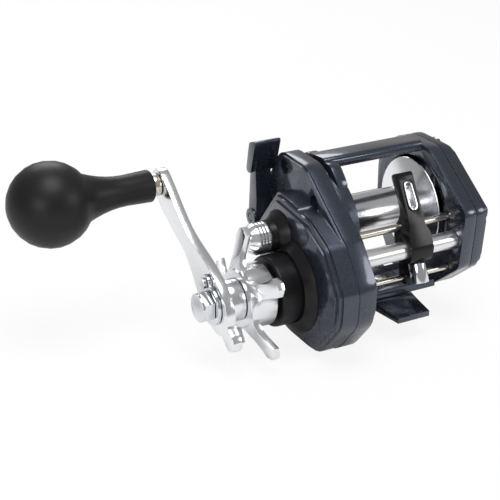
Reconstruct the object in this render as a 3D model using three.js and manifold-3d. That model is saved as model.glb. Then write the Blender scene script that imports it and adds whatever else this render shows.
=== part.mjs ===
// A left-hand trolling reel with a star drag and a level wind, in millimetres.
// +X runs along the spool axis from the handle towards the palm cover, -Y is the side the line leaves,
// +Z is up. The origin is the middle of the reel foot's seat, the face that lies on the rod.
import * as THREE from "three";
import { mergeVertices } from "three/addons/utils/BufferGeometryUtils.js";
import Module from "manifold-3d";

const wasm = await Module();
wasm.setup();

// ---- driving dimensions ----
const GAP = 0.3; // clearance between pieces that touch
const SPOOL_HEIGHT = 36; // spool axis above the foot's seat
const HANDLE_Y = -12; // handle axis, from the spool axis
const HANDLE_Z = -19;
const SPOOL_RADIUS = 22;
const SPOOL_WIDTH = 40; // between the flanges
const FLANGE = 1.2;
const ARBOR_RADIUS = 10;
const SHAFT_RADIUS = 1.2;
const LEFT_RING = 6.6; // depth of the frame's handle-side ring
const LEFT_PLATE = 2.4; // thickness of the frame's handle-side plate
const RIGHT_RING = 6;
const PLATE = 2; // gear plate
const COVER_BASE = 8.6; // handle cover: depth of its low shelf
const COVER_BOSS = 8.8; // further depth of the gear boss
const WALL = 1.8;
const PALM_DEPTH = 9;
const BAR_RADIUS = 3.9; // worm tube
const BAR_Y = -30.5;
const BAR_Z = -5;
const ROD_RADIUS = 1.6;
const ROD_Y = -25.3;
const ROD_Z = 3.6;
const LOW_ROD_RADIUS = 1.3;
const LOW_ROD_Y = -27.5;
const LOW_ROD_Z = -19;
const WORM_RADIUS = 2.6;
const WORM_JOURNAL = 1.5;
const FOOT_FRONT = 35.5;
const FOOT_REAR = 31;
const FOOT_WIDTH = 16;
const FOOT_TIP = 2.4;
const TEETH_DRIVE = 63;
const TEETH_PINION = 10;
const TEETH_COG = 30;
const TEETH_IDLER = 22;
const TEETH_WORM = 20;
const COG_MODULE = 0.6;
const GEAR_WIDTH = 3;
const COG_WIDTH = 1.8;
const DRIVE_SHAFT_RADIUS = 3.2;
const WASHER = 0.8;
const KNOB_Y = 35.2;
const KNOB_Z = 17.7;
const KNOB_RADIUS = 18.1;
const KNOB_NECK = 6.3;
const KNOB_LENGTH = 63; // neck end to the tip of the ball
const ARM_THICK = 4;
const ARM_SWEEP = 1.5; // how far the arm's end stands out from its hub
const STAR_REACH = 29.5;
const STAR_ARMS = 5;
const CAP_RADIUS = 6.8;
const CAP_LENGTH = 9.5;
const NUT_WIDTH = 12; // across flats
const NUT_HEIGHT = 7;
const GUIDE_X = 2;
const GUIDE_WIDTH = 11;
const FINE = 36; // sides of a visible round piece
const COARSE = 20; // sides of a hidden one

// ---- planes along X, worked out from the spool outwards ----
const half = SPOOL_WIDTH / 2;
const ringIn = -(half + FLANGE + 0.8);
const ringOut = ringIn - LEFT_RING;
const plateIn = ringOut - GAP;
const plateOut = plateIn - PLATE;
const shelfOut = ringOut - COVER_BASE;
const bossOut = shelfOut - COVER_BOSS;
const palmIn = half + FLANGE + 0.8;
const palmSeam = palmIn + RIGHT_RING;
const palmOut = palmSeam + PALM_DEPTH;
const cogIn = plateOut - GAP;
const cogOut = cogIn - COG_WIDTH;
const ratchetOut = cogOut - GAP - 1;
const gearIn = ratchetOut - GAP;
const gearOut = gearIn - GEAR_WIDTH;
const trimOut = bossOut - 4;
const housingOut = bossOut - 13.2;
const starHubIn = housingOut - 2;
const starHubOut = starHubIn - 11.5;
const armIn = starHubOut - 7.3;
const armOut = armIn - ARM_THICK;
const nutOut = armOut - NUT_HEIGHT;
const neckIn = armOut - ARM_SWEEP - 3.6;

// ---- materials ----
const paint = (color, roughness, metalness) =>
  new THREE.MeshStandardMaterial({ color, roughness, metalness });
const graphite = paint(0x3a3f4a, 0.35, 0.55);
const silver = paint(0xd9dbde, 0.22, 0.95);
const chrome = paint(0xe8eaec, 0.08, 1);
const blackPlastic = paint(0x161617, 0.5, 0);
const rubberGrip = paint(0x1b1b1d, 0.7, 0);
const steel = paint(0xb9bcc0, 0.3, 1);
const brass = paint(0xb99a52, 0.35, 1);
const carbon = paint(0x222222, 0.8, 0);
const nickel = paint(0xcfc2b4, 0.25, 1);

// ---- solids ----
const solidOf = (geometry) => {
  const g = geometry.clone();
  for (const key of Object.keys(g.attributes)) if (key !== "position") g.deleteAttribute(key);
  const merged = mergeVertices(g, 1e-4);
  const triVerts = new Uint32Array(merged.index.array);
  const vertProperties = merged.attributes.position.array;
  return new wasm.Manifold(new wasm.Mesh({ numProp: 3, vertProperties, triVerts }));
};
const geometryOf = (solid) => {
  const mesh = solid.getMesh();
  const g = new THREE.BufferGeometry();
  g.setAttribute("position", new THREE.BufferAttribute(new Float32Array(mesh.vertProperties), 3));
  g.setIndex(new THREE.BufferAttribute(new Uint32Array(mesh.triVerts), 1));
  g.computeVertexNormals();
  return g;
};
const join = (...solids) => solids.reduce((a, b) => a.add(b));
const cut = (body, ...tools) => tools.reduce((a, b) => a.subtract(b), body);
const moved = (solid, x, y, z) => solid.translate([x, y, z]);

// A solid of revolution about X. The profile is [x, radius] pairs, outside first, by rising x.
const turned = (profile, sides = FINE) => {
  const points = profile.map(([x, r]) => new THREE.Vector2(r, x));
  return solidOf(new THREE.LatheGeometry(points, sides).rotateZ(-Math.PI / 2));
};
const disc = (x0, x1, r, y = 0, z = 0, sides = FINE) =>
  moved(turned([[x0, 0], [x0, r], [x1, r], [x1, 0]], sides), 0, y, z);
const ring = (x0, x1, r, bore, y = 0, z = 0, sides = FINE) =>
  moved(turned([[x0, bore], [x0, r], [x1, r], [x1, bore], [x0, bore]], sides), 0, y, z);
const block = (x0, x1, y0, y1, z0, z1) =>
  solidOf(new THREE.BoxGeometry(x1 - x0, y1 - y0, z1 - z0)
    .translate((x0 + x1) / 2, (y0 + y1) / 2, (z0 + z1) / 2));
// An outline in Y and Z, extruded along X from x0 to x1.
const slab = (shape, x0, x1, curveSegments = 4) => {
  const g = new THREE.ExtrudeGeometry(shape, { depth: x1 - x0, bevelEnabled: false, curveSegments });
  const basis = new THREE.Matrix4().makeBasis(
    new THREE.Vector3(0, 1, 0), new THREE.Vector3(0, 0, 1), new THREE.Vector3(1, 0, 0));
  return solidOf(g.applyMatrix4(basis).translate(x0, 0, 0));
};

// ---- outlines ----
// Corners are [y, z, radius], anticlockwise seen from +X. inset moves every side inwards.
const insetCorners = (corners, inset) =>
  corners.map(([y, z, r], i) => {
    const before = corners[(i + corners.length - 1) % corners.length];
    const after = corners[(i + 1) % corners.length];
    const a = new THREE.Vector2(y - before[0], z - before[1]).normalize();
    const b = new THREE.Vector2(after[0] - y, after[1] - z).normalize();
    const na = new THREE.Vector2(-a.y, a.x);
    const nb = new THREE.Vector2(-b.y, b.x);
    const bisector = na.clone().add(nb);
    const shift = (2 * inset) / bisector.lengthSq();
    return [y + bisector.x * shift, z + bisector.y * shift, Math.max(r - inset, 0.5)];
  });
const outline = (corners, inset = 0, path = new THREE.Shape()) => {
  const list = inset ? insetCorners(corners, inset) : corners;
  list.forEach(([y, z, r], i) => {
    const at = new THREE.Vector2(y, z);
    const before = new THREE.Vector2(...list[(i + list.length - 1) % list.length]);
    const after = new THREE.Vector2(...list[(i + 1) % list.length]);
    const into = before.clone().sub(at).normalize();
    const out = after.clone().sub(at).normalize();
    const halfAngle = Math.acos(THREE.MathUtils.clamp(into.dot(out), -1, 1)) / 2;
    const reach = Math.min(
      r / Math.tan(halfAngle), before.distanceTo(at) * 0.48, after.distanceTo(at) * 0.48);
    const start = at.clone().addScaledVector(into, reach);
    const end = at.clone().addScaledVector(out, reach);
    if (i) path.lineTo(start.x, start.y);
    else path.moveTo(start.x, start.y);
    path.quadraticCurveTo(at.x, at.y, end.x, end.y);
  });
  path.closePath();
  return path;
};
const leftCorners = [
  [17, 30.5, 9], [-5, 30, 12], [-35.5, 7.8, 14], [-48.5, -9, 14], [-47.5, -25, 14],
  [-31, -44.5, 16], [-4, -44, 22], [20, -33, 20], [31, -14, 18], [30, 10, 18],
];
const bossCorners = [
  [5.5, 17, 3], [-20, 14.2, 14], [-36, 6.6, 10], [-48.1, -9, 14], [-47.1, -25, 14],
  [-31, -44.1, 16], [-4, -43.6, 22], [16, -33, 16], [20.5, -16, 10], [20.5, -1, 4],
];
const rightCorners = [
  [13, 29.5, 14], [-9, 29.5, 9], [-38, 9, 6], [-35.5, -17, 6],
  [-17, -32, 8], [16, -32, 12], [28, -14, 16], [28, 16, 14],
];

// ---- gears ----
// A gear with straight-sided stub teeth cut to an involute's width at root and tip, for a 25 degree
// pressure angle. A tooth's middle stands at angle 0.
const gearOutline = (teeth, module, bore) => {
  const pitch = (teeth * module) / 2;
  const base = pitch * Math.cos(THREE.MathUtils.degToRad(25));
  const tip = pitch + 0.8 * module;
  const root = pitch - 1.05 * module;
  const thin = 0.045; // share of the tooth pitch taken off for backlash
  const involute = (r) => {
    const t = Math.sqrt(Math.max((r / base) ** 2 - 1, 0));
    return t - Math.atan(t);
  };
  const halfTooth = (Math.PI / 2 / teeth) * (1 - 2 * thin);
  const halfAt = (r) => halfTooth + involute(pitch) - involute(Math.max(base, r));
  const shape = new THREE.Shape();
  for (let n = 0; n < teeth; n++) {
    const middle = (2 * Math.PI * n) / teeth;
    [[root, -halfAt(root)], [tip, -halfAt(tip)], [tip, halfAt(tip)], [root, halfAt(root)]]
      .map(([r, a]) => [r * Math.cos(middle + a), r * Math.sin(middle + a)])
      .forEach(([y, z], i) => (n || i ? shape.lineTo(y, z) : shape.moveTo(y, z)));
  }
  shape.closePath();
  shape.holes.push(new THREE.Path().absarc(0, 0, bore, 0, 2 * Math.PI, true));
  return shape;
};
const pitchAngle = (teeth) => (2 * Math.PI) / teeth;
// The phase that puts gear b in mesh with gear a, which stands at phase.
const meshPhase = (a, b, teethA, teethB, phase) => {
  const direction = Math.atan2(b.z - a.z, b.y - a.y);
  const off = THREE.MathUtils.euclideanModulo(direction - phase, pitchAngle(teethA));
  return direction + Math.PI - pitchAngle(teethB) / 2 + (off * teethA) / teethB;
};
const spoolAxis = { y: 0, z: 0 };
const handleAxis = { y: HANDLE_Y, z: HANDLE_Z };
const wormAxis = { y: BAR_Y, z: BAR_Z };
const driveModule = (2 * Math.hypot(HANDLE_Y, HANDLE_Z)) / (TEETH_DRIVE + TEETH_PINION);
const idlerAxis = (() => {
  const r1 = ((TEETH_COG + TEETH_IDLER) * COG_MODULE) / 2;
  const r2 = ((TEETH_IDLER + TEETH_WORM) * COG_MODULE) / 2;
  const dy = wormAxis.y - handleAxis.y;
  const dz = wormAxis.z - handleAxis.z;
  const d = Math.hypot(dy, dz);
  const along = (r1 * r1 - r2 * r2 + d * d) / (2 * d);
  const aside = Math.sqrt(r1 * r1 - along * along);
  return {
    y: handleAxis.y + (dy * along + dz * aside) / d,
    z: handleAxis.z + (dz * along - dy * aside) / d,
  };
})();

// ---- assembly ----
const reel = new THREE.Group();
reel.position.z = SPOOL_HEIGHT;
const piece = (name, solid, material, axis = spoolAxis, turn = 0) => {
  const mesh = new THREE.Mesh(geometryOf(solid), material);
  mesh.name = name;
  mesh.position.set(0, axis.y, axis.z);
  mesh.rotation.x = turn;
  reel.add(mesh);
};

// ---- frame ----
const SEAT_Z = -SPOOL_HEIGHT;
const FOOT_TOP = -32.3; // where the foot meets the frame's floor
const FLOOR = 3.4; // thickness of the frame's floor
const FLOOR_FRONT = -19;
const FLOOR_REAR = 18;
const bore = SPOOL_RADIUS + 1;
const THUMB_BAR = [[10, 30, 2], [-3.4, 31.2, 2], [-4.4, 26.4, 1.5], [9, 25.2, 1.5]];
const SHOULDER = [[13, 29.6, 3], [-8, 29.6, 6], [-17, 20.5, 4], [15, 19, 3]];
const REAR_BAR = [[30, -6, 2], [27.4, -1, 2], [24.8, -3, 1], [26, -11, 1.5]];
const footScrews = [-9, 9];
const screwHole = 1.7;
const coverScrews = [[12, 24.6], [-12.8, 16.8], [25, 5], [25.6, -16.5]];
const palmScrews = [[1, 26], [-30.4, 3], [20, -24]];
const SCREW_RADIUS = 1.4;
const SCREW_HEAD = 2.6;
const rods = [
  { name: "guide_rod_upper", y: ROD_Y, z: ROD_Z, r: ROD_RADIUS },
  { name: "guide_rod_lower", y: LOW_ROD_Y, z: LOW_ROD_Z, r: LOW_ROD_RADIUS },
];
const ROD_SEAT = 3; // depth of a rod's seat in the palm-side ring
const RIM = 3; // width of the frame's rim round the spool, handle side
const upright = (r, z0, z1, x, y, sides = COARSE) => {
  const g = new THREE.CylinderGeometry(r, r, z1 - z0, sides).rotateX(Math.PI / 2);
  return solidOf(g.translate(x, y, (z0 + z1) / 2));
};

const makeFrame = () => {
  const overlap = 0.5;
  const plateInner = ringOut + LEFT_PLATE;
  const left = slab(outline(leftCorners, LEFT_PLATE + 0.6), ringOut, plateInner);
  const rim = disc(ringOut, ringIn, bore + RIM, 0, 0, 48);
  const shoulder = slab(outline(SHOULDER), plateInner - overlap, ringIn);
  const right = slab(outline(rightCorners), palmIn, palmSeam);
  const across = (corners) => slab(outline(corners), plateInner - overlap, palmIn + overlap, 3);
  const floor = block(plateInner - overlap, palmIn + overlap, FLOOR_FRONT, FLOOR_REAR,
    FOOT_TOP + GAP, FOOT_TOP + GAP + FLOOR);
  const windows = [-1, 1].flatMap((side) => [-1, 1].map((end) =>
    block(side > 0 ? FOOT_WIDTH / 2 + 2.5 : ringIn + 2.5, side > 0 ? palmIn - 2.5 : -FOOT_WIDTH / 2 - 2.5,
      end > 0 ? 3 : FLOOR_FRONT + 4, end > 0 ? FLOOR_REAR - 4 : -3, -40, -20)));
  const body = join(left, rim, shoulder, right, across(THUMB_BAR), across(REAR_BAR), floor);
  const rodSeats = rods.map(({ y, z, r }) =>
    disc(ringOut - 1, palmIn + ROD_SEAT + GAP, r + GAP, y, z, 16));
  const screws = coverScrews.map(([y, z]) =>
    disc(ringOut - 1, ringOut + LEFT_PLATE + 1, SCREW_RADIUS + GAP, y, z, 12));
  const palmHoles = palmScrews.map(([y, z]) =>
    disc(palmSeam - 4, palmSeam + 1, SCREW_RADIUS + GAP, y, z, 12));
  const footHoles = footScrews.map((y) => upright(screwHole, -40, -20, 0, y, 12));
  return cut(
    body,
    disc(ringOut - 1, ringIn + 1, bore, 0, 0, 48),
    disc(palmIn - 1, palmSeam + 1, bore, 0, 0, 48),
    disc(ringOut - 1, palmIn + ROD_SEAT + GAP, BAR_RADIUS + GAP, BAR_Y, BAR_Z, 24),
    ...windows, ...rodSeats, ...screws, ...palmHoles, ...footHoles,
  );
};

const makeFoot = () => {
  const side = new THREE.Shape();
  side.moveTo(-FOOT_FRONT, SEAT_Z);
  side.lineTo(FOOT_REAR, SEAT_Z);
  side.lineTo(FOOT_REAR, SEAT_Z + FOOT_TIP - 0.6);
  side.quadraticCurveTo(FLOOR_REAR + 4, FOOT_TOP - 0.6, FLOOR_REAR, FOOT_TOP);
  side.lineTo(FLOOR_FRONT, FOOT_TOP);
  side.quadraticCurveTo(FLOOR_FRONT - 5, FOOT_TOP - 0.6, -FOOT_FRONT, SEAT_Z + FOOT_TIP);
  side.closePath();
  const plan = new THREE.Shape();
  const tip = FOOT_WIDTH / 2;
  const root = tip + 2;
  [[-tip, -FOOT_FRONT], [tip, -FOOT_FRONT], [root, FLOOR_FRONT], [root, FLOOR_REAR],
    [tip, FOOT_REAR], [-tip, FOOT_REAR], [-root, FLOOR_REAR], [-root, FLOOR_FRONT]]
    .forEach(([x, y], i) => (i ? plan.lineTo(x, y) : plan.moveTo(x, y)));
  plan.closePath();
  const prism = new THREE.ExtrudeGeometry(plan, { depth: 12, bevelEnabled: false })
    .translate(0, 0, SEAT_Z - 2);
  const holes = footScrews.map((y) => upright(screwHole, -34.5, -20, 0, y, 12));
  return cut(slab(side, -root - 1, root + 1, 5).intersect(solidOf(prism)), ...holes);
};

piece("frame", makeFrame(), graphite);
piece("reel_foot", makeFoot(), graphite);
footScrews.forEach((y, i) => {
  const top = FOOT_TOP + GAP + FLOOR + GAP;
  piece(`foot_screw_${i + 1}`, join(upright(SCREW_RADIUS, -34, top + 0.1, 0, y, 12),
    upright(SCREW_HEAD, top, top + 1.2, 0, y, 16)), steel);
});

// ---- handle-side housing ----
const COLLAR_RADIUS = 7.1;
const SHELF_BORE = 5.2;
const HOUSING_RADIUS = 15.2;
const SPIGOT_RADIUS = 8.4;
const TRIM_RADIUS = 20.4;
const TRIM_FACE_RADIUS = 16.6;
const CAP_TRIM_RADIUS = 10.5;
const capIn = bossOut - 7;
const capOut = capIn - CAP_LENGTH;
const SCREW_WELL = 3.3;
const LEVER_Y = 26; // clutch lever's pivot
const LEVER_Z = -2;
const LEVER_PIN = 1.6;

const makeHandleCover = () => {
  const seam = ringOut - GAP;
  const lowShelf = slab(outline(leftCorners), shelfOut + 1, seam)
    .add(slab(outline(leftCorners, 1), shelfOut, seam));
  const boss = join(slab(outline(bossCorners), bossOut + 2.4, shelfOut + 1),
    slab(outline(bossCorners, 1.2), bossOut + 1, shelfOut + 1),
    slab(outline(bossCorners, 3.2), bossOut, shelfOut + 1));
  const hollow = join(
    slab(outline(leftCorners, WALL), shelfOut + WALL, seam + 1),
    slab(outline(bossCorners, WALL + 0.3), bossOut + 2.4 + WALL, shelfOut + WALL + 1),
    slab(outline(bossCorners, WALL + 3.2), bossOut + WALL, shelfOut + WALL + 1));
  const towers = join(...coverScrews.map(([y, z]) =>
    disc(shelfOut, seam, SCREW_WELL + 1.2, y, z, 16)));
  const towersInside = towers.intersect(slab(outline(leftCorners, 0.5), shelfOut, seam));
  const pivot = disc(shelfOut - 8.6, shelfOut + 1.5, LEVER_PIN, LEVER_Y, LEVER_Z, 16);
  return cut(
    join(lowShelf.add(boss).subtract(hollow), towersInside, pivot),
    ...coverScrews.flatMap(([y, z]) => [
      disc(bossOut - 1, seam - 3, SCREW_WELL, y, z, 16),
      disc(seam - 4, seam + 1, SCREW_RADIUS + GAP, y, z, 12)]),
    disc(bossOut - 1, bossOut + 3, SPIGOT_RADIUS + GAP, HANDLE_Y, HANDLE_Z, 28),
    disc(bossOut - 1, bossOut + 3, SHELF_BORE + GAP, 0, 0, 24),
  );
};

piece("handle_side_cover", makeHandleCover(), graphite);
coverScrews.forEach(([y, z], i) => {
  const seat = ringOut - GAP - 3 - GAP;
  piece(`cover_screw_${i + 1}`, join(
    disc(seat - 1.4, seat, SCREW_HEAD, y, z, 16),
    disc(seat - 0.1, ringOut + LEFT_PLATE, SCREW_RADIUS, y, z, 12)), steel);
});
const cone = (x0, r0, x1, r1, y, z, sides) =>
  moved(turned([[x0, 0], [x0, r0], [x1, r1], [x1, 0]], sides), 0, y, z);
piece("trim_ring", cut(
  join(cone(trimOut, TRIM_FACE_RADIUS, bossOut - GAP, TRIM_RADIUS, HANDLE_Y, HANDLE_Z, 48),
    cone(trimOut, COLLAR_RADIUS + 0.3, bossOut - GAP, CAP_TRIM_RADIUS, 0, 0, 32),
    disc(capIn + GAP, trimOut + 0.2, COLLAR_RADIUS, 0, 0, 32)),
  disc(capIn - 1, bossOut + 1, HOUSING_RADIUS + GAP, HANDLE_Y, HANDLE_Z, 48),
  disc(capIn - 1, bossOut + 1, SHELF_BORE, 0, 0, 24)), blackPlastic);
piece("clutch_housing", moved(turned([
  [starHubIn + GAP, 7.2], [starHubIn + GAP, 11], [housingOut, 11], [housingOut, HOUSING_RADIUS - 0.8],
  [housingOut + 0.8, HOUSING_RADIUS], [bossOut - GAP, HOUSING_RADIUS], [bossOut - GAP, SPIGOT_RADIUS],
  [bossOut + WALL, SPIGOT_RADIUS], [bossOut + WALL, 7.2], [starHubIn + GAP, 7.2]], FINE), 0, HANDLE_Y,
      HANDLE_Z),
blackPlastic);

const BEARING = { r: 6, bore: DRIVE_SHAFT_RADIUS + 0.1, depth: PLATE };
const SPOOL_BEARING = { r: 4.2, bore: SHAFT_RADIUS + 0.05, depth: 2.4 };
const yokePosts = [-7, 7].map((y) => [y, 5.4]);
const PAWL_Y = HANDLE_Y + 11;
const PAWL_Z = HANDLE_Z - 7;
piece("gear_plate", cut(
  join(slab(outline(leftCorners, WALL + GAP * 2), plateOut, plateIn),
    ...yokePosts.map(([y, z]) => disc(bossOut + WALL + 1, plateOut + 0.2, 0.8, y, z, 12)),
    disc(ratchetOut - 0.1, plateOut + 0.2, 1.2, PAWL_Y, PAWL_Z, 12)),
  disc(plateOut - 1, plateIn + 1, BEARING.r + GAP, HANDLE_Y, HANDLE_Z, 24),
  disc(plateOut - 1, plateIn + 1, SPOOL_BEARING.r + GAP, 0, 0, 24),
  disc(plateOut - 1, plateIn + 1, WORM_JOURNAL + 0.2, BAR_Y, BAR_Z, 20),
  ...coverScrews.map(([y, z]) => disc(plateOut - 1, plateIn + 1, SCREW_WELL + 1.7, y, z, 16)),
  disc(plateOut - 1, plateIn + 1, 1.5, idlerAxis.y, idlerAxis.z, 16)), steel);
piece("idler_stud", moved(join(
  disc(cogOut - 0.9, plateIn - 0.2, 1.2, 0, 0, 16), disc(cogOut - 1.4, cogOut - 0.5, 2.2, 0, 0, 16)),
0, idlerAxis.y, idlerAxis.z), steel);
piece("drive_shaft_bearing",
  ring(plateIn - 0.1 - BEARING.depth, plateIn - 0.1, BEARING.r, BEARING.bore, HANDLE_Y, HANDLE_Z, 24),
      steel);
piece("spool_bearing_handle_side",
  ring(plateIn - SPOOL_BEARING.depth, plateIn, SPOOL_BEARING.r, SPOOL_BEARING.bore, 0, 0, 24), steel);
piece("one_way_bearing",
  ring(starHubIn + 2, starHubIn + 10, 6.9, DRIVE_SHAFT_RADIUS + 0.1, HANDLE_Y, HANDLE_Z, 24), steel);
piece("spool_cap_bearing",
  ring(capIn + 2, capIn + 4.4, SHELF_BORE - GAP, SHAFT_RADIUS + 0.05, 0, 0, 20), steel);

// ---- palm side ----
const CLICK_Y = 8;
const CLICK_Z = -14;
const CLICK_TRAVEL = 4;
const makePalmCover = () => {
  const seam = palmSeam + GAP;
  const shell = join(
    slab(outline(rightCorners), seam, palmOut - 5),
    slab(outline(rightCorners, 1.5), seam, palmOut - 2.5),
    slab(outline(rightCorners, 4), seam, palmOut));
  const hollow = slab(outline(rightCorners, WALL), seam - 1, palmOut - 5.2)
    .add(slab(outline(rightCorners, 4 + WALL), seam - 1, palmOut - WALL));
  const towers = join(...palmScrews.map(([y, z]) => disc(seam, palmOut - 3, 3.6, y, z, 16)))
    .intersect(slab(outline(rightCorners, 0.5), seam, palmOut - 2.6));
  const seat = ring(palmOut - 5, palmOut - 1, SPOOL_BEARING.r + 2, SPOOL_BEARING.r + GAP, 0, 0, 24);
  return cut(join(shell.subtract(hollow), towers, seat),
    ...palmScrews.flatMap(([y, z]) => [
      disc(palmOut - 6.5, palmOut + 1, SCREW_HEAD + GAP * 2, y, z, 16),
      disc(seam - 1, palmOut, SCREW_RADIUS + GAP, y, z, 12)]),
    block(palmOut - 4, palmOut + 1, CLICK_Y - 1.6, CLICK_Y + 1.6,
      CLICK_Z - CLICK_TRAVEL - 1.6, CLICK_Z + 1.6));
};
piece("palm_side_cover", makePalmCover(), graphite);
palmScrews.forEach(([y, z], i) => {
  const seat = palmOut - 6.5 - GAP + GAP * 2;
  piece(`palm_screw_${i + 1}`, join(
    disc(seat, seat + 1.4, SCREW_HEAD, y, z, 16),
    disc(palmSeam - 3.5, seat + 0.1, SCREW_RADIUS, y, z, 12)), steel);
});
piece("spool_bearing_palm_side",
  ring(palmOut - 4.6, palmOut - 4.6 + SPOOL_BEARING.depth, SPOOL_BEARING.r, SPOOL_BEARING.bore, 0, 0,
      24), steel);
piece("click_button", join(
  disc(palmOut + GAP, palmOut + 2.2, 4.2, CLICK_Y, CLICK_Z, 24),
  disc(palmOut - 4.2, palmOut + GAP + 0.1, 1.3, CLICK_Y, CLICK_Z, 16)), blackPlastic);

// ---- spool ----
const CLICK_TEETH = 18;
const spoolEnd = half + FLANGE;
piece("spool", turned([
  [-spoolEnd, SHAFT_RADIUS + GAP], [-spoolEnd, SPOOL_RADIUS - 0.6], [-spoolEnd + 0.5, SPOOL_RADIUS],
  [-half - 0.2, SPOOL_RADIUS], [-half, SPOOL_RADIUS - 0.4], [-half + 1.6, ARBOR_RADIUS + 2],
  [-half + 3.6, ARBOR_RADIUS], [half - 3.6, ARBOR_RADIUS], [half - 1.6, ARBOR_RADIUS + 2],
  [half, SPOOL_RADIUS - 0.4], [half + 0.2, SPOOL_RADIUS], [spoolEnd - 0.5, SPOOL_RADIUS],
  [spoolEnd, SPOOL_RADIUS - 0.6], [spoolEnd, SHAFT_RADIUS + GAP], [-spoolEnd, SHAFT_RADIUS + GAP]],
      40), silver);
piece("spool_shaft", turned([
  [capIn + 1.8, 0], [capIn + 1.8, SHAFT_RADIUS], [palmOut - 2, SHAFT_RADIUS], [palmOut - 2, 0]], 20),
      steel);
piece("click_gear", slab(gearOutline(CLICK_TEETH, 0.9, SHAFT_RADIUS + GAP), spoolEnd + GAP,
    spoolEnd + GAP + 1.4),
  brass);

// ---- drive train ----
const DRIVE_PHASE = 0;
const pinionPhase = meshPhase(handleAxis, spoolAxis, TEETH_DRIVE, TEETH_PINION, DRIVE_PHASE);
const idlerPhase = meshPhase(handleAxis, idlerAxis, TEETH_COG, TEETH_IDLER, DRIVE_PHASE);
const wormPhase = meshPhase(idlerAxis, wormAxis, TEETH_IDLER, TEETH_WORM, idlerPhase);
const gear = (teeth, module, boreRadius, x0, x1) =>
  slab(gearOutline(teeth, module, boreRadius), x0, x1, 10);
const shaftBore = DRIVE_SHAFT_RADIUS + GAP;
const PINION_TRAVEL = 1.6;
const pinionIn = gearIn + 0.4;
const grooveIn = gearOut - 1;
const pinionRoot = (TEETH_PINION / 2 - 1.05) * driveModule;
const drumRadius = 11; // the drive gear's recess for the drag stack
const stack = (name, x0, depth, radius, material, boreRadius = shaftBore) => {
  piece(name, ring(x0 - depth, x0, radius, boreRadius, 0, 0, 28), material, handleAxis);
  return x0 - depth - GAP;
};

piece("drive_gear", gear(TEETH_DRIVE, driveModule, shaftBore, gearOut, gearIn)
  .add(ring(gearOut - 1.6, gearOut + 0.2, drumRadius + 1.3, drumRadius, 0, 0, 36)), brass, handleAxis,
      DRIVE_PHASE);
let next = stack("drag_washer_inner", gearOut - GAP, WASHER, drumRadius - GAP, carbon);
next = stack("keyed_drag_plate", next, WASHER, drumRadius - GAP, steel);
next = stack("drag_washer_outer", next, WASHER, drumRadius - GAP, carbon);
next = stack("pressure_plate", next, 1, drumRadius + 1, steel);
piece("spring_washer", moved(turned([
  [next - 1.5, shaftBore], [next - 0.6, 6.6], [next, 6.6], [next - 0.9, shaftBore], [next - 1.5,
      shaftBore]], 24),
0, 0, 0), steel, handleAxis);
piece("anti_reverse_ratchet", (() => {
  const wheel = new THREE.Shape();
  const teeth = 8;
  for (let n = 0; n < teeth; n++) {
    const a = (2 * Math.PI * n) / teeth;
    const b = a + ((2 * Math.PI) / teeth) * 0.9;
    if (n) wheel.lineTo(6.6 * Math.cos(a), 6.6 * Math.sin(a));
    else wheel.moveTo(6.6 * Math.cos(a), 6.6 * Math.sin(a));
    wheel.lineTo(8.6 * Math.cos(b), 8.6 * Math.sin(b));
  }
  wheel.closePath();
  wheel.holes.push(new THREE.Path().absarc(0, 0, shaftBore, 0, 2 * Math.PI, true));
  return slab(wheel, ratchetOut, cogOut - GAP, 10);
})(), steel, handleAxis);
piece("level_wind_drive_gear", gear(TEETH_COG, COG_MODULE, shaftBore, cogOut, cogIn), blackPlastic,
  handleAxis, DRIVE_PHASE);
piece("idler_gear", gear(TEETH_IDLER, COG_MODULE, 1.2 + GAP, cogOut, cogIn), blackPlastic,
  idlerAxis, idlerPhase);
piece("worm_gear", gear(TEETH_WORM, COG_MODULE, 1.5 + GAP, cogOut, cogIn), blackPlastic,
  wormAxis, wormPhase);
piece("pinion_gear", (() => {
  const teethPart = gear(TEETH_PINION, driveModule, SHAFT_RADIUS + GAP, grooveIn, pinionIn);
  const neck = ring(grooveIn - 1.5, grooveIn + 0.1, pinionRoot - 0.2, SHAFT_RADIUS + GAP, 0, 0, 20);
  const head = ring(grooveIn - 2.4, grooveIn - 1.4, pinionRoot + 1, SHAFT_RADIUS + GAP, 0, 0, 20);
  return join(teethPart, neck, head);
})(), brass, spoolAxis, pinionPhase);
piece("pinion_yoke", (() => {
  const yoke = outline([[-6, -2.5, 1], [6, -2.5, 1], [9.5, 3, 1.5], [9.5, 8, 1.5], [-9.5, 8, 1.5],
      [-9.5, 3, 1.5]]);
  const jaw = pinionRoot - 0.2 + GAP;
  return cut(slab(yoke, grooveIn - 1.2, grooveIn - 0.2),
    disc(grooveIn - 5, grooveIn + 5, jaw, 0, 0, 20), block(grooveIn - 5, grooveIn + 5, -jaw, jaw, -9, 0),
    ...yokePosts.map(([y, z]) => disc(grooveIn - 5, grooveIn + 5, 0.8 + GAP, y, z, 12)));
})(), blackPlastic);
piece("anti_reverse_pawl", (() => {
  const bar = outline([[PAWL_Y + 1.4, PAWL_Z + 1, 0.4], [PAWL_Y - 0.4, PAWL_Z + 1.2, 0.3],
    [PAWL_Y - 6.6, PAWL_Z - 1.2, 0.3], [PAWL_Y - 6.4, PAWL_Z - 2.8, 0.3], [PAWL_Y, PAWL_Z - 1.6, 0.4]]);
  return cut(join(slab(bar, ratchetOut, cogOut - GAP), disc(ratchetOut, cogOut - GAP, 2.3, PAWL_Y,
      PAWL_Z, 16)),
    disc(ratchetOut - 1, cogOut + 1, 1.2 + GAP, PAWL_Y, PAWL_Z, 12));
})(), steel);

// ---- crank, star and knob ----
piece("drive_shaft", disc(armOut - 4.4, plateIn, DRIVE_SHAFT_RADIUS, 0, 0, 24), steel, handleAxis);

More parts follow.
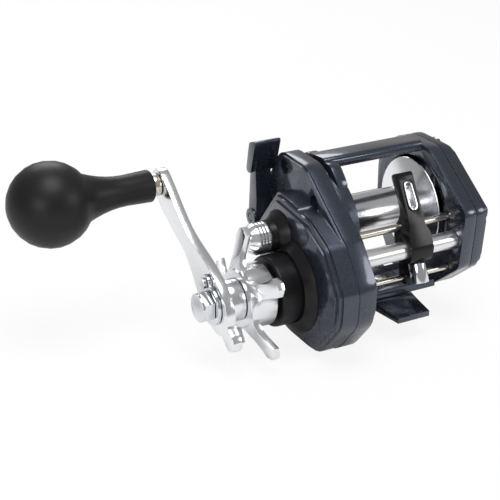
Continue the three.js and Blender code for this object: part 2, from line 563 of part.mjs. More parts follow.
// The arm's outline, from the hub round the counterweight lobe and out to the knob's end.
const armAngle = Math.atan2(KNOB_Z - HANDLE_Z, KNOB_Y - HANDLE_Y);
const POST_RADIUS = 2.2;
const armOutline = () => {
  const s = new THREE.Shape();
  const reach = Math.hypot(KNOB_Z - HANDLE_Z, KNOB_Y - HANDLE_Y);
  const at = (u, v) => [
    u * Math.cos(armAngle) - v * Math.sin(armAngle), u * Math.sin(armAngle) + v * Math.cos(armAngle)];
  const end = 6.6;
  s.moveTo(...at(4, 11));
  s.bezierCurveTo(...at(-5, 12), ...at(-10.5, 8), ...at(-12.5, 4.6));
  s.bezierCurveTo(...at(-13.5, 3), ...at(-15.5, 4.2), ...at(-17.5, 4.2));
  s.bezierCurveTo(...at(-23.6, 4), ...at(-23.6, -4), ...at(-17.5, -4.2));
  s.bezierCurveTo(...at(-15.5, -4.2), ...at(-13.5, -3), ...at(-12.5, -4.6));
  s.bezierCurveTo(...at(-10.5, -8), ...at(-5, -11.4), ...at(6, -10));
  s.bezierCurveTo(...at(16, -8), ...at(24, -4), ...at(30, -4));
  s.bezierCurveTo(...at(38, -4.2), ...at(reach - 12, -end), ...at(reach, -end));
  s.absarc(...at(reach, 0), end, armAngle - Math.PI / 2, armAngle + Math.PI / 2, false);
  s.bezierCurveTo(...at(reach - 14, end + 0.2), ...at(38, 4.6), ...at(30, 5.4));
  s.bezierCurveTo(...at(20, 6.6), ...at(14, 9.8), ...at(4, 11));
  return s;
};
piece("crank_arm", (() => {
  const reach = Math.hypot(KNOB_Z - HANDLE_Z, KNOB_Y - HANDLE_Y);
  const edge = new THREE.Shape(); // the arm seen edge on: along the arm, then out along -X
  edge.moveTo(-40, 0);
  edge.lineTo(14, 0);
  edge.bezierCurveTo(26, 0, 32, ARM_SWEEP, reach - 9, ARM_SWEEP);
  edge.lineTo(reach + 20, ARM_SWEEP);
  edge.lineTo(reach + 20, ARM_SWEEP + ARM_THICK);
  edge.lineTo(reach - 9, ARM_SWEEP + ARM_THICK);
  edge.bezierCurveTo(32, ARM_SWEEP + ARM_THICK, 26, ARM_THICK, 14, ARM_THICK);
  edge.lineTo(-40, ARM_THICK);
  edge.closePath();
  const basis = new THREE.Matrix4().makeBasis(
    new THREE.Vector3(0, Math.cos(armAngle), Math.sin(armAngle)), new THREE.Vector3(-1, 0, 0),
    new THREE.Vector3(0, -Math.sin(armAngle), Math.cos(armAngle)));
  const side = new THREE.ExtrudeGeometry(edge, { depth: 60, bevelEnabled: false, curveSegments: 7 })
    .translate(0, 0, -30).applyMatrix4(basis).translate(armIn, 0, 0);
  return cut(slab(armOutline(), armOut - ARM_SWEEP - 2, armIn + 1, 7).intersect(solidOf(side)),
    disc(armOut - 9, armIn + 9, shaftBore, 0, 0, 24),
    disc(neckIn - 9, armIn + 9, POST_RADIUS + GAP, KNOB_Y - HANDLE_Y, KNOB_Z - HANDLE_Z, 16));
})(), silver, handleAxis);
const RETAINER = 1.4;
const nutIn = armOut - RETAINER - GAP * 2;
const retainerAngle = armAngle + 0.55;
const retainerScrew = { y: 9.4 * Math.cos(retainerAngle), z: 9.4 * Math.sin(retainerAngle) };
piece("nut_retainer", (() => {
  const plate = join(
    disc(armOut - GAP - RETAINER, armOut - GAP, 8.6, 0, 0, 28),
    disc(armOut - GAP - RETAINER, armOut - GAP, 3.4, retainerScrew.y, retainerScrew.z, 20));
  return cut(plate, disc(armOut - 9, armOut + 9, shaftBore + 0.9, 0, 0, 6),
    disc(armOut - 9, armOut + 9, 1.2 + GAP, retainerScrew.y, retainerScrew.z, 12));
})(), silver, handleAxis);
piece("retainer_screw", moved(join(
  disc(armOut - GAP - RETAINER - GAP - 1.3, armOut - GAP * 2 - RETAINER, 2.3, 0, 0, 16),
  disc(armOut - GAP * 2 - RETAINER - 0.1, armOut - GAP, 1.2, 0, 0, 12)), 0, retainerScrew.y,
      retainerScrew.z),
nickel, handleAxis);
piece("handle_nut", cut(join(
  disc(nutOut + 0.8, nutIn, NUT_WIDTH / Math.sqrt(3), 0, 0, 6),
  disc(nutOut, nutOut + 1, NUT_WIDTH / 2, 0, 0, 24)),
disc(nutIn - 4, nutIn + 1, shaftBore, 0, 0, 24)), chrome, handleAxis);

const STAR_THICK = 2.8;
const STAR_CURL = 4.6; // how far the arm tips lean back towards the cover
const STAR_HUB = 13.5;
const starPlane = starHubOut + 0.4;
piece("star_drag", (() => {
  const s = new THREE.Shape();
  const step = (2 * Math.PI) / STAR_ARMS;
  const first = Math.PI / 2 - 0.21;
  const polar = (r, a) => [r * Math.cos(a), r * Math.sin(a)];
  for (let n = 0; n < STAR_ARMS; n++) {
    const a = first + n * step;
    const corner = polar(12.5, a - step / 2);
    if (n) s.lineTo(...corner);
    else s.moveTo(...corner);
    s.quadraticCurveTo(...polar(12.8, a - 0.34), ...polar(18, a - 0.18));
    s.quadraticCurveTo(...polar(22, a - 0.14), ...polar(STAR_REACH - 3, a - 0.15));
    s.quadraticCurveTo(...polar(STAR_REACH + 2.6, a), ...polar(STAR_REACH - 3, a + 0.15));
    s.quadraticCurveTo(...polar(22, a + 0.14), ...polar(18, a + 0.18));
    s.quadraticCurveTo(...polar(12.8, a + 0.34), ...polar(12.5, a + step / 2));
  }
  s.closePath();
  const g = new THREE.ExtrudeGeometry(s, { depth: STAR_THICK, bevelEnabled: false, curveSegments: 3 });
  const basis = new THREE.Matrix4().makeBasis(
    new THREE.Vector3(0, 1, 0), new THREE.Vector3(0, 0, 1), new THREE.Vector3(1, 0, 0));
  g.applyMatrix4(basis).translate(starPlane, 0, 0);
  const p = g.attributes.position;
  for (let i = 0; i < p.count; i++) {
    const r = Math.hypot(p.getY(i), p.getZ(i));
    p.setX(i, p.getX(i) + STAR_CURL * THREE.MathUtils.smoothstep(r, 12.5, STAR_REACH));
  }
  const hub = turned([[starHubOut, shaftBore], [starHubOut, STAR_HUB - 1.5], [starHubOut + 1.5, STAR_HUB],
    [starHubIn, STAR_HUB], [starHubIn, shaftBore], [starHubOut, shaftBore]], 36);
  return cut(hub.add(solidOf(g)), disc(starHubOut - 9, starHubIn + 9, shaftBore, 0, 0, 24));
})(), silver, handleAxis);
piece("arm_spacer", ring(armIn + GAP, starHubOut - GAP, 9, shaftBore, 0, 0, 24), silver, handleAxis);

const knobAxis = { y: KNOB_Y, z: KNOB_Z };
const postEnd = neckIn - 48;
const ballX = neckIn - KNOB_LENGTH + KNOB_RADIUS;
piece("knob_post", join(
  disc(postEnd, armIn - ARM_SWEEP - 0.2, POST_RADIUS, 0, 0, 16),
  disc(neckIn + GAP, armOut - ARM_SWEEP - GAP, 5, 0, 0, 24)), nickel, knobAxis);
const knobBore = 3.6;
const ballStart = 0.62; // angle from the ball's pole where the neck's curve meets it
piece("knob", (() => {
  const profile = [[ballX - KNOB_RADIUS, 0]];
  const steps = 11;
  for (let i = 1; i <= steps; i++) {
    const a = (i / steps) * (Math.PI - ballStart);
    profile.push([ballX - KNOB_RADIUS * Math.cos(a), KNOB_RADIUS * Math.sin(a)]);
  }
  const [x0, r0] = profile[profile.length - 1];
  const waist = neckIn - 12;
  for (let i = 1; i <= 5; i++) {
    const t = i / 5;
    profile.push([x0 + (waist - x0) * t, r0 + (KNOB_NECK + 0.3 - r0) * (1 - (1 - t) ** 2)]);
  }
  profile.push([neckIn - 0.8, KNOB_NECK + 0.7], [neckIn, KNOB_NECK], [neckIn, knobBore], [postEnd - 1,
      knobBore],
    [postEnd - 1, 0]);
  return turned(profile, 28);
})(), rubberGrip, knobAxis);
piece("knob_bush", ring(neckIn - 5, neckIn - 1, knobBore - GAP, POST_RADIUS + 0.1, 0, 0, 20), brass,
    knobAxis);

piece("tension_knob", turned([[capOut, 0], [capOut, CAP_RADIUS - 1.2], [capOut + 1.2, CAP_RADIUS],
  [capIn - 0.4, CAP_RADIUS], [capIn, CAP_RADIUS - 0.4], [capIn, 3.4], [capIn + 1.5, 3.4],
  [capIn + 1.5, 0]]), silver);

// ---- clutch lever ----
const leverIn = shelfOut - GAP;
piece("clutch_lever", (() => {
  const arm = outline([[22.4, -3, 2], [29.4, -3, 3], [28.4, 10, 8], [27.6, 20, 8], [25.2, 28.4, 2],
      [24, 31.4, 2],
    [21, 32.4, 1], [21.5, 28.4, 3], [23, 20, 8], [22.2, 8, 8]]);
  const paddle = outline([[27.9, 19.5, 2], [26, 29.2, 1.5], [25, 33.2, 2.5], [19.4, 35, 1.2], [21,
      29.6, 1],
    [23.9, 19, 2]]);
  return cut(join(slab(arm, leverIn - 7.5, leverIn), slab(paddle, leverIn - 9.5, -34.5, 5),
    disc(leverIn - 8.4, leverIn, 3.9, LEVER_Y, LEVER_Z, 28)),
  disc(leverIn - 12, leverIn + 1, LEVER_PIN + GAP, LEVER_Y, LEVER_Z, 16));
})(), graphite);

// ---- level wind ----
rods.forEach(({ name, y, z, r }) => piece(name, disc(ringIn - ROD_SEAT, palmIn + ROD_SEAT, r, y, z,
    20), nickel));
const PAWL_TILT = THREE.MathUtils.degToRad(21); // the pawl leans forwards by this from straight down
const PAWL_RADIUS = 1.7;
const CAP_START = 6.2; // pawl cap, from the worm's axis
const CAP_END = 14.8;
const CAP_WIDTH = 3.8;
const TRAVEL_LIMIT = 15.5; // of the guide's middle, either side of the spool's middle
// A round bar along the pawl's line, from a to b away from the worm's axis, at x.
const alongPawl = (r, a, b, x, sides = COARSE) =>
  solidOf(new THREE.CylinderGeometry(r, r, b - a, sides).translate(0, -(a + b) / 2, 0)
    .rotateX(Math.PI / 2 - PAWL_TILT).translate(x, BAR_Y, BAR_Z));
piece("worm_tube", cut(
  ring(ringOut + GAP, palmIn + ROD_SEAT, BAR_RADIUS, WORM_RADIUS + GAP, BAR_Y, BAR_Z, 28),
  solidOf(new THREE.BoxGeometry(2 * TRAVEL_LIMIT + 5, 6, 2 * PAWL_RADIUS + GAP * 2).translate(0, -4, 0)
    .rotateX(Math.PI / 2 - PAWL_TILT).translate(0, BAR_Y, BAR_Z))), silver);
piece("worm_shaft", moved(turned([[cogOut - 0.8, 0], [cogOut - 0.8, WORM_JOURNAL], [plateIn + GAP,
    WORM_JOURNAL],
  [plateIn + GAP, WORM_RADIUS], [palmIn + ROD_SEAT, WORM_RADIUS], [palmIn + ROD_SEAT, 0]], 20), 0,
      BAR_Y, BAR_Z),
steel);

const SLOT_Y = -23.5; // middle of the line slot
const SLOT_Z = 15.8;
const SLOT_TILT = Math.atan2(6, 9.5); // the slotted plate leans back by this
const SLOT_HALF = 5.6;
// An outline in X and up the plate, run through it from front to back by depth.
const throughPlate = (halfWidth, halfHeight, depth, holeWidth) => {
  const racetrack = (w, h, path) => {
    path.absarc(0, h - w, w, 0, Math.PI, false);
    path.absarc(0, w - h, w, Math.PI, 2 * Math.PI, false);
    path.closePath();
    return path;
  };
  const s = racetrack(halfWidth, halfHeight, new THREE.Shape());
  if (holeWidth)
    s.holes.push(racetrack(holeWidth, halfHeight - halfWidth + holeWidth, new THREE.Path()));
  const basis = new THREE.Matrix4().makeBasis(
    new THREE.Vector3(1, 0, 0), new THREE.Vector3(0, Math.sin(SLOT_TILT), Math.cos(SLOT_TILT)),
    new THREE.Vector3(0, -Math.cos(SLOT_TILT), Math.sin(SLOT_TILT)));
  const g = new THREE.ExtrudeGeometry(s, { depth, bevelEnabled: false, curveSegments: 8 });
  return solidOf(g.translate(0, 0, -depth / 2).applyMatrix4(basis).translate(GUIDE_X, SLOT_Y, SLOT_Z));
};
const INSERT_HALF = 2.1;
const GUIDE_PLATE = 4.6;
piece("line_guide", (() => {
  const x0 = GUIDE_X - GUIDE_WIDTH / 2;
  const x1 = GUIDE_X + GUIDE_WIDTH / 2;
  const side = outline([[-16.4, 23.6, 1.5], [-20, 26, 2], [-32.8, 4.4, 4], [-36.8, -3, 5], [-35.6, -10, 5],
    [-26, -10.6, 5], [-23, -2, 3], [-22.8, 4.4, 3], [-24.4, 10.2, 5]]);
  const leg = outline([[-28.2, -9, 0.5], [-29.3, -13, 1], [-30.2, -17, 1], [-30.2, -21.8, 1.5], [-24.8,
      -21.8, 1.5],
    [-23.6, -9, 1]]);
  const front = new THREE.Shape();
  [[-3.9, 30], [-3.9, 6], [-GUIDE_WIDTH / 2, 2.5], [-GUIDE_WIDTH / 2, -11], [-3, -12], [-3, -24],
    [3, -24], [3, -12], [GUIDE_WIDTH / 2, -11], [GUIDE_WIDTH / 2, 2.5], [3.9, 6], [3.9, 30]]
    .forEach(([x, z], i) => (i ? front.lineTo(x, z) : front.moveTo(x, z)));
  front.closePath();
  const profile = new THREE.ExtrudeGeometry(front, { depth: 40, bevelEnabled: false })
    .rotateX(Math.PI / 2).translate(GUIDE_X, -5, 0);
  const body = join(slab(side, x0, x1, 5), slab(leg, x0, x1, 3), alongPawl(4.2, 4, CAP_START - GAP,
      GUIDE_X, 24));
  return cut(body.intersect(solidOf(profile)),
    throughPlate(INSERT_HALF + GAP, SLOT_HALF + INSERT_HALF - 1.4 + GAP, 14),
    disc(x0 - 1, x1 + 1, BAR_RADIUS + GAP, BAR_Y, BAR_Z, 28),
    disc(x0 - 1, x1 + 1, ROD_RADIUS + GAP, ROD_Y, ROD_Z, 20),
    disc(x0 - 1, x1 + 1, LOW_ROD_RADIUS + GAP, LOW_ROD_Y, LOW_ROD_Z, 20),
    alongPawl(PAWL_RADIUS + GAP, 2, CAP_START + 1, GUIDE_X));
})(), blackPlastic);
piece("guide_insert", throughPlate(INSERT_HALF, SLOT_HALF + INSERT_HALF - 1.4, GUIDE_PLATE + 0.8, 1.4),
    chrome);
piece("guide_pawl", alongPawl(PAWL_RADIUS, WORM_RADIUS + GAP, CAP_START + 2.6, GUIDE_X), steel);
piece("pawl_cap", cut(alongPawl(CAP_WIDTH, CAP_START, CAP_END, GUIDE_X, 28),
  alongPawl(PAWL_RADIUS + GAP, CAP_START - 1, CAP_START + 2.9, GUIDE_X)), chrome);

const root = new THREE.Group();
root.add(reel);
export default root;
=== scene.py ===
import math
import bpy
from mathutils import Matrix, Vector


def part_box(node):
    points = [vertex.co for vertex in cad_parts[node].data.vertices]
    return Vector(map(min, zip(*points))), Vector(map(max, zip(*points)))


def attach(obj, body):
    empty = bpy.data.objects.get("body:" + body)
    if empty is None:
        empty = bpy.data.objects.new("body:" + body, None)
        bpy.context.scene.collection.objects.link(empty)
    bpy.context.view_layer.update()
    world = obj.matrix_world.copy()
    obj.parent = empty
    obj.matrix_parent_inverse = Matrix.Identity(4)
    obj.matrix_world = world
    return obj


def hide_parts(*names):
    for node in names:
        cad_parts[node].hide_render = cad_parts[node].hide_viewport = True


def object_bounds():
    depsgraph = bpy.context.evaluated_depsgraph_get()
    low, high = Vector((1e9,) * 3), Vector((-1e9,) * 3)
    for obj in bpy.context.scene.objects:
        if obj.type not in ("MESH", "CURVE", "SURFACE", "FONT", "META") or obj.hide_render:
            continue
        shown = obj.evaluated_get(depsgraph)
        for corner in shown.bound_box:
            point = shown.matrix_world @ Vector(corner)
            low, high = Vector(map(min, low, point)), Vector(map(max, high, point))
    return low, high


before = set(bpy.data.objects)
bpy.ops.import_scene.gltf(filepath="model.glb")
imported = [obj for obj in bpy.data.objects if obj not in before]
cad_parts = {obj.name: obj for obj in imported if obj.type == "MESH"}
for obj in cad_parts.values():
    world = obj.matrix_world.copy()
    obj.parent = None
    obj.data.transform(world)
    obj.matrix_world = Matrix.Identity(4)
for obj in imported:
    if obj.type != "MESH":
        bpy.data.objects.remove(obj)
cad_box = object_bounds()

# ---- Frame ----
# The one-piece cast and machined aluminium frame: two side rings, the thumb
# bar, the rear bar and the floor. It is painted a dark blue-grey metallic
# under a clear coat, and its edges are softened in tumbling before paint.


def metal_flake_paint(name, colour, fleck, roughness, scale):
    paint = bpy.data.materials.new(name)
    paint.use_nodes = True
    nodes = paint.node_tree.nodes
    link = paint.node_tree.links.new
    shader = nodes["Principled BSDF"]
    place = nodes.new("ShaderNodeTexCoord")
    flakes = nodes.new("ShaderNodeTexVoronoi")
    flakes.inputs["Scale"].default_value = scale
    link(place.outputs["Object"], flakes.inputs["Vector"])
    lit = nodes.new("ShaderNodeValToRGB")
    lit.color_ramp.elements[0].position = 0.55
    lit.color_ramp.elements[0].color = (*colour, 1)
    lit.color_ramp.elements[1].position = 1.0
    lit.color_ramp.elements[1].color = (*fleck, 1)
    link(flakes.outputs["Color"], lit.inputs["Fac"])
    link(lit.outputs["Color"], shader.inputs["Base Color"])
    cloud = nodes.new("ShaderNodeTexNoise")
    cloud.inputs["Scale"].default_value = 140
    cloud.inputs["Detail"].default_value = 6
    link(place.outputs["Object"], cloud.inputs["Vector"])
    spread = nodes.new("ShaderNodeMapRange")
    spread.inputs["To Min"].default_value = roughness - 0.05
    spread.inputs["To Max"].default_value = roughness + 0.07
    link(cloud.outputs["Fac"], spread.inputs["Value"])
    link(spread.outputs["Result"], shader.inputs["Roughness"])
    grain = nodes.new("ShaderNodeBump")
    grain.inputs["Strength"].default_value = 0.05
    grain.inputs["Distance"].default_value = 0.00003
    link(flakes.outputs["Distance"], grain.inputs["Height"])
    link(grain.outputs["Normal"], shader.inputs["Normal"])
    shader.inputs["Metallic"].default_value = 0.75
    shader.inputs["Coat Weight"].default_value = 0.7
    shader.inputs["Coat Roughness"].default_value = 0.06
    return paint


def finished_copy(node, name, body, finish, width, dissolve=0.8, segments=2):
    """The machined shape with its triangles merged and its edges rounded."""
    bpy.ops.object.select_all(action="DESELECT")
    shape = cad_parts[node].data.copy()
    piece = bpy.data.objects.new(name, shape)
    bpy.context.scene.collection.objects.link(piece)
    bpy.context.view_layer.objects.active = piece
    piece.select_set(True)
    bpy.ops.object.mode_set(mode="EDIT")
    bpy.ops.mesh.select_all(action="SELECT")
    bpy.ops.mesh.remove_doubles(threshold=0.000002)
    bpy.ops.mesh.dissolve_limited(angle_limit=math.radians(dissolve))
    bpy.ops.object.mode_set(mode="OBJECT")
    if width:
        edge = piece.modifiers.new("rounding", "BEVEL")
        edge.width = width
        edge.segments = segments
        edge.limit_method = "ANGLE"
        edge.angle_limit = math.radians(32)
        edge.use_clamp_overlap = True
        bpy.ops.object.modifier_apply(modifier=edge.name)
    bpy.ops.object.shade_smooth_by_angle(angle=math.radians(34))
    piece.data.materials.clear()
    piece.data.materials.append(finish)
    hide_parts(node)
    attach(piece, body)
    return piece


graphite = metal_flake_paint(
    "graphite_paint", (0.034, 0.041, 0.060), (0.075, 0.090, 0.125), 0.27, 5200)
finished_copy("frame", "frame_casting", "frame", graphite, 0.0005)

# ---- Reel foot ----
# A stamped aluminium foot, painted with the frame and held under its floor by
# two stainless screws. Its ends are thinned to slip under a rod's seat hoods.

finished_copy("reel_foot", "foot_plate", "frame", graphite, 0.0004)


def machined_metal(name, colour, roughness, bands):
    metal = bpy.data.materials.new(name)
    metal.use_nodes = True
    nodes = metal.node_tree.nodes
    link = metal.node_tree.links.new
    shader = nodes["Principled BSDF"]
    place = nodes.new("ShaderNodeTexCoord")
    stretch = nodes.new("ShaderNodeMapping")
    stretch.inputs["Scale"].default_value = (9, 1, 1)
    link(place.outputs["Object"], stretch.inputs["Vector"])
    lines = nodes.new("ShaderNodeTexNoise")
    lines.inputs["Scale"].default_value = bands
    lines.inputs["Detail"].default_value = 5
    link(stretch.outputs["Vector"], lines.inputs["Vector"])
    tone = nodes.new("ShaderNodeValToRGB")
    tone.color_ramp.elements[0].position = 0.3
    tone.color_ramp.elements[0].color = (*[c * 0.97 for c in colour], 1)
    tone.color_ramp.elements[1].position = 0.7
    tone.color_ramp.elements[1].color = (*colour, 1)
    link(lines.outputs["Fac"], tone.inputs["Fac"])
    link(tone.outputs["Color"], shader.inputs["Base Color"])
    spread = nodes.new("ShaderNodeMapRange")
    spread.inputs["To Min"].default_value = max(roughness - 0.02, 0.02)
    spread.inputs["To Max"].default_value = roughness + 0.03
    link(lines.outputs["Fac"], spread.inputs["Value"])
    link(spread.outputs["Result"], shader.inputs["Roughness"])
    cut = nodes.new("ShaderNodeBump")
    cut.inputs["Strength"].default_value = 0.02
    cut.inputs["Distance"].default_value = 0.000005
    link(lines.outputs["Fac"], cut.inputs["Height"])
    link(cut.outputs["Normal"], shader.inputs["Normal"])
    shader.inputs["Metallic"].default_value = 1.0
    return metal


stainless = machined_metal("stainless_steel", (0.62, 0.63, 0.65), 0.24, 500)
for n in (1, 2):
    finished_copy(f"foot_screw_{n}", f"foot_screw_{n}_steel", "frame", stainless, 0.0001)

# ---- Handle-side cover ----
# The cast gear-case cover, painted with the frame. Its domed boss stands proud
# of a shelf where the screws and the clutch lever sit, and it meets the frame
# at a thin dark seam.

finished_copy("handle_side_cover", "gear_case_cover", "frame", graphite, 0.0007, segments=3)
for n in (1, 2, 3, 4):
    finished_copy(f"cover_screw_{n}", f"cover_screw_{n}_steel", "frame", stainless, 0.0001)

# ---- Palm-side cover ----
# The cast cover that lies in the angler's palm, with bevelled flats round its
# rim, held by three screws. A turned click button sits in its face.

finished_copy("palm_side_cover", "palm_cover_casting", "frame", graphite, 0.0006, segments=3)
for n in (1, 2, 3):
    finished_copy(f"palm_screw_{n}", f"palm_screw_{n}_steel", "frame", stainless, 0.0001)


def moulded_black(name, colour, roughness, grain, depth):
    moulded = bpy.data.materials.new(name)
    moulded.use_nodes = True
    nodes = moulded.node_tree.nodes
    link = moulded.node_tree.links.new
    shader = nodes["Principled BSDF"]
    place = nodes.new("ShaderNodeTexCoord")
    pebble = nodes.new("ShaderNodeTexNoise")
    pebble.inputs["Scale"].default_value = grain
    pebble.inputs["Detail"].default_value = 4
    link(place.outputs["Object"], pebble.inputs["Vector"])
    worn = nodes.new("ShaderNodeTexNoise")
    worn.inputs["Scale"].default_value = 90
    worn.inputs["Detail"].default_value = 5
    link(place.outputs["Object"], worn.inputs["Vector"])
    tone = nodes.new("ShaderNodeValToRGB")
    tone.color_ramp.elements[0].color = (*[c * 0.8 for c in colour], 1)
    tone.color_ramp.elements[1].color = (*[c * 1.25 for c in colour], 1)
    link(worn.outputs["Fac"], tone.inputs["Fac"])
    link(tone.outputs["Color"], shader.inputs["Base Color"])
    spread = nodes.new("ShaderNodeMapRange")
    spread.inputs["To Min"].default_value = roughness - 0.06
    spread.inputs["To Max"].default_value = roughness + 0.06
    link(worn.outputs["Fac"], spread.inputs["Value"])
    link(spread.outputs["Result"], shader.inputs["Roughness"])
    skin = nodes.new("ShaderNodeBump")
    skin.inputs["Strength"].default_value = 0.25
    skin.inputs["Distance"].default_value = depth
    link(pebble.outputs["Fac"], skin.inputs["Height"])
    link(skin.outputs["Normal"], shader.inputs["Normal"])
    shader.inputs["Specular IOR Level"].default_value = 0.22
    return moulded


black_satin = moulded_black("black_satin", (0.006, 0.006, 0.007), 0.30, 2600, 0.00003)
finished_copy("click_button", "click_button_cap", "click", black_satin, 0.0003)

# ---- Trim ring and clutch housing ----
# A satin black ring on the cover's face, coned round the drive shaft and
# flared up to the cast-control cap. The stepped housing behind the star
# carries the one-way bearing.

finished_copy("trim_ring", "cover_trim", "frame", black_satin, 0.0003)
finished_copy("clutch_housing", "bearing_housing", "frame", black_satin, 0.0004, segments=3)

# ---- Gear train, bearings and drag ----
# The machined parts inside the gear case: brass gears, steel shafts and
# bearings, and woven carbon drag washers. Each keeps its shape from the
# workshop model and takes its own metal.

brass = machined_metal("brass", (0.66, 0.50, 0.24), 0.22, 600)
turned_steel = machined_metal("turned_steel", (0.56, 0.57, 0.60), 0.18, 700)
carbon = moulded_black("carbon_washer", (0.03, 0.03, 0.032), 0.55, 1600, 0.00008)
inside = {
    brass: ("drive_gear", "pinion_gear", "idler_gear", "level_wind_drive_gear"),
    black_satin: ("gear_plate", "worm_gear", "pinion_yoke", "click_gear"),
    carbon: ("drag_washer_inner", "drag_washer_outer"),
    turned_steel: (
        "idler_stud", "drive_shaft_bearing", "spool_bearing_handle_side",
        "one_way_bearing", "spool_cap_bearing", "spool_bearing_palm_side",
        "keyed_drag_plate", "pressure_plate", "spring_washer",
        "anti_reverse_ratchet", "anti_reverse_pawl", "drive_shaft",
        "spool_shaft", "knob_bush", "worm_shaft",
    ),
}
for metal, names in inside.items():
    for name in names:
        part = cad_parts[name]
        part.data.materials.clear()
        part.data.materials.append(metal)

# ---- Spool ----
# A spool turned from one bar of aluminium and polished, with thin flanges and
# a straight arbor. It is bare of line.

polished = machined_metal("polished_aluminium", (0.80, 0.81, 0.83), 0.2, 420)
finished_copy("spool", "spool_turned", "spool", polished, 0.00025)

# ---- Level wind ----
# Two bright rods and the worm's slotted tube span the front of the frame. The
# black line guide rides on them, with a hard metallic insert for the line and
# a chromed cap over its pawl.

satin_silver = machined_metal("satin_silver", (0.76, 0.76, 0.77), 0.3, 420)
nickel = machined_metal("warm_nickel", (0.66, 0.61, 0.54), 0.2, 420)
chrome = machined_metal("chrome", (0.68, 0.70, 0.73), 0.12, 300)
finished_copy("worm_tube", "worm_cover_tube", "frame", satin_silver, 0)
finished_copy("guide_rod_upper", "upper_rod", "frame", nickel, 0)
finished_copy("guide_rod_lower", "lower_rod", "frame", nickel, 0)
guide_black = moulded_black("line_guide_black", (0.006, 0.006, 0.007), 0.24, 2200, 0.00003)
finished_copy("line_guide", "line_guide_arch", "line_guide", guide_black, 0.0013, segments=4)
finished_copy("guide_insert", "line_guide_insert", "line_guide", chrome, 0.0002)
finished_copy("guide_pawl", "pawl", "line_guide", turned_steel, 0)
finished_copy("pawl_cap", "pawl_cap_chrome", "line_guide", chrome, 0.0005, segments=3)

# ---- Clutch lever ----
# The cast thumb lever that frees the spool: an arm hinged low on the cover's
# shelf, with a broad paddle at the top, painted with the covers.

finished_copy("clutch_lever", "thumb_lever", "lever", graphite, 0.0009, segments=3)

# ---- Crank arm and its nut ----
# A swept arm forged in aluminium and polished all over, held on the shaft by a
# chromed hexagon nut. A retainer plate and its small screw lock the nut.

finished_copy("arm_spacer", "spacer_sleeve", "crank", polished, 0.0003)
finished_copy("crank_arm", "crank_forging", "crank", polished, 0.0009, segments=3)
finished_copy("nut_retainer", "retainer_plate", "crank", chrome, 0.0003)
finished_copy("retainer_screw", "retainer_screw_steel", "crank", chrome, 0.0001)
finished_copy("handle_nut", "hexagon_nut", "crank", chrome, 0.0004)

# ---- Star drag ----
# The five-armed wheel that sets the drag, forged in one with its hub and
# polished. Its arms lean back towards the cover.

finished_copy("star_drag", "star_wheel", "star", polished, 0.0005, segments=3)

# ---- Cast-control cap ----
# A turned aluminium cap screwed over the spool shaft's end. Its face is smooth
# and coned, and its wall is knurled in rows of shallow points.

low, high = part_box("tension_knob")
cap_middle = (low + high) / 2
cap_radius = (high.y - low.y) / 2
cap_face = 0.70  # the face's radius as a share of the cap's
knurl_row = 0.0015
knurl_height = 0.00022
bpy.ops.object.select_all(action="DESELECT")
bpy.ops.mesh.primitive_circle_add(
    vertices=44, radius=cap_radius * cap_face, fill_type="NGON",
    location=(low.x, cap_middle.y, cap_middle.z), rotation=(0, -math.pi / 2, 0))
cap = bpy.context.object
cap.name = "cast_control_cap"
bpy.ops.object.mode_set(mode="EDIT")
bpy.ops.mesh.select_all(action="SELECT")
steps = [(0.0034, 0.985 / cap_face)] + [(knurl_row, 1)] * 4 + [(0.0006, 0.93)]
for length, growth in steps:
    bpy.ops.mesh.extrude_region_move(TRANSFORM_OT_translate={"value": (length, 0, 0)})
    if growth != 1:
        bpy.ops.transform.resize(
            value=(1, growth, growth),
            center_override=(0, cap_middle.y, cap_middle.z))
bpy.ops.mesh.select_all(action="SELECT")
bpy.ops.mesh.normals_make_consistent(inside=False)
bpy.ops.mesh.select_all(action="DESELECT")
bpy.ops.object.mode_set(mode="OBJECT")
for face in cap.data.polygons:
    middle = cap.matrix_world @ face.center
    out = cap.matrix_world.to_3x3() @ face.normal
    face.select = low.x + 0.0036 < middle.x < low.x + 0.0093 and abs(out.x) < 0.3
bpy.ops.object.mode_set(mode="EDIT")
bpy.ops.mesh.select_mode(type="FACE")
bpy.ops.mesh.poke(offset=knurl_height)
bpy.ops.object.mode_set(mode="OBJECT")
bpy.ops.object.transform_apply(location=True, rotation=True, scale=True)
bpy.ops.object.shade_smooth_by_angle(angle=math.radians(20))
cap.data.materials.append(polished)
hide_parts("tension_knob")
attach(cap, "tension")

# ---- Knob ----
# A ball knob moulded in soft rubber over a nickel collar. The neck leaves the
# collar as a plain sleeve and swells into the ball.

finished_copy("knob_post", "knob_collar", "crank", nickel, 0.0003)
rubber = moulded_black("knob_rubber", (0.009, 0.009, 0.010), 0.42, 3200, 0.00006)
finished_copy("knob", "ball_knob", "grip", rubber, 0.0003, dissolve=0.01)

# ---- Studio ----
# A pale floor and soft lamps, with a white surround.

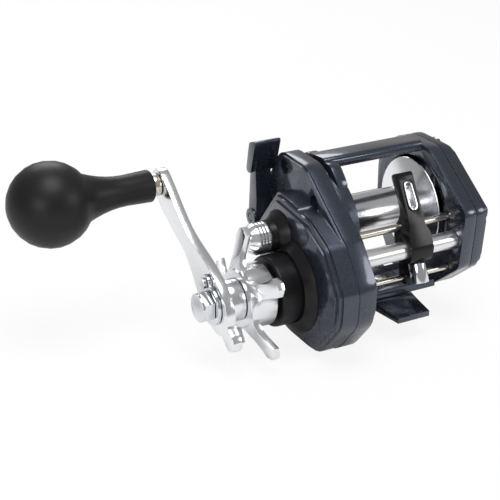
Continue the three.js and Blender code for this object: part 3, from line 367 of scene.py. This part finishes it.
floor_gap = 0.0002
bpy.ops.object.select_all(action="DESELECT")
bpy.ops.mesh.primitive_plane_add(size=6, location=(0, 0, cad_box[0][2] - floor_gap))
floor = bpy.context.object
floor.name = "floor"
pale = bpy.data.materials.new("pale_floor")
pale.use_nodes = True
nodes = pale.node_tree.nodes
link = pale.node_tree.links.new
matt = nodes["Principled BSDF"]
matt.inputs["Base Color"].default_value = (0.86, 0.86, 0.86, 1)
matt.inputs["Roughness"].default_value = 0.9
white = nodes.new("ShaderNodeEmission")
white.inputs["Color"].default_value = (1, 1, 1, 1)
path = nodes.new("ShaderNodeLightPath")
seen = nodes.new("ShaderNodeMath")
seen.operation = "MULTIPLY"
seen.inputs[1].default_value = 0.88
mix = nodes.new("ShaderNodeMixShader")
link(path.outputs["Is Camera Ray"], seen.inputs[0])
link(seen.outputs["Value"], mix.inputs["Fac"])
link(matt.outputs["BSDF"], mix.inputs[1])
link(white.outputs["Emission"], mix.inputs[2])
link(mix.outputs["Shader"], nodes["Material Output"].inputs["Surface"])
floor.data.materials.append(pale)

world = bpy.data.worlds.new("studio")
bpy.context.scene.world = world
world.use_nodes = True
nodes = world.node_tree.nodes
link = world.node_tree.links.new
around = nodes["Background"]
around.inputs["Color"].default_value = (1, 1, 1, 1)
path = nodes.new("ShaderNodeLightPath")
either = nodes.new("ShaderNodeMath")
either.operation = "MAXIMUM"
link(path.outputs["Is Camera Ray"], either.inputs[0])
link(path.outputs["Is Transmission Ray"], either.inputs[1])
strength = nodes.new("ShaderNodeMapRange")
strength.inputs["To Min"].default_value = 0.36
strength.inputs["To Max"].default_value = 1.0
link(either.outputs["Value"], strength.inputs["Value"])
link(strength.outputs["Result"], around.inputs["Strength"])

for name, spot, size, power in (
    ("overhead", (-0.1, -0.15, 0.75), 0.5, 4.0),
    ("front_left", (-0.75, -0.55, 0.35), 0.4, 2.0),
    ("right", (0.6, -0.6, 0.4), 0.35, 2.0),
    ("behind", (0.1, 0.7, 0.5), 0.5, 2.2),
):
    lamp = bpy.data.lights.new(name, "AREA")
    lamp.shape = "DISK"
    lamp.size = size
    lamp.energy = power
    holder = bpy.data.objects.new(name, lamp)
    holder.location = spot
    aim = Vector((-0.02, 0, 0.036)) - Vector(spot)
    holder.rotation_euler = aim.to_track_quat("-Z", "Y").to_euler()
    bpy.context.scene.collection.objects.link(holder)

lens = bpy.data.cameras.new("camera")
lens.sensor_width = 36
lens.lens = 1300 / 500 * 36
camera = bpy.data.objects.new("camera", lens)
camera.location = (-0.2969, -0.4359, 0.2544)
bpy.context.scene.collection.objects.link(camera)
bpy.context.scene.camera = camera
bpy.context.scene.view_settings.view_transform = "Standard"
turn = Matrix(((0.8788, 0.1956, -0.4352), (-0.4772, 0.3602, -0.8016), (0.0, 0.9121, 0.4099)))
camera.rotation_euler = turn.to_euler()
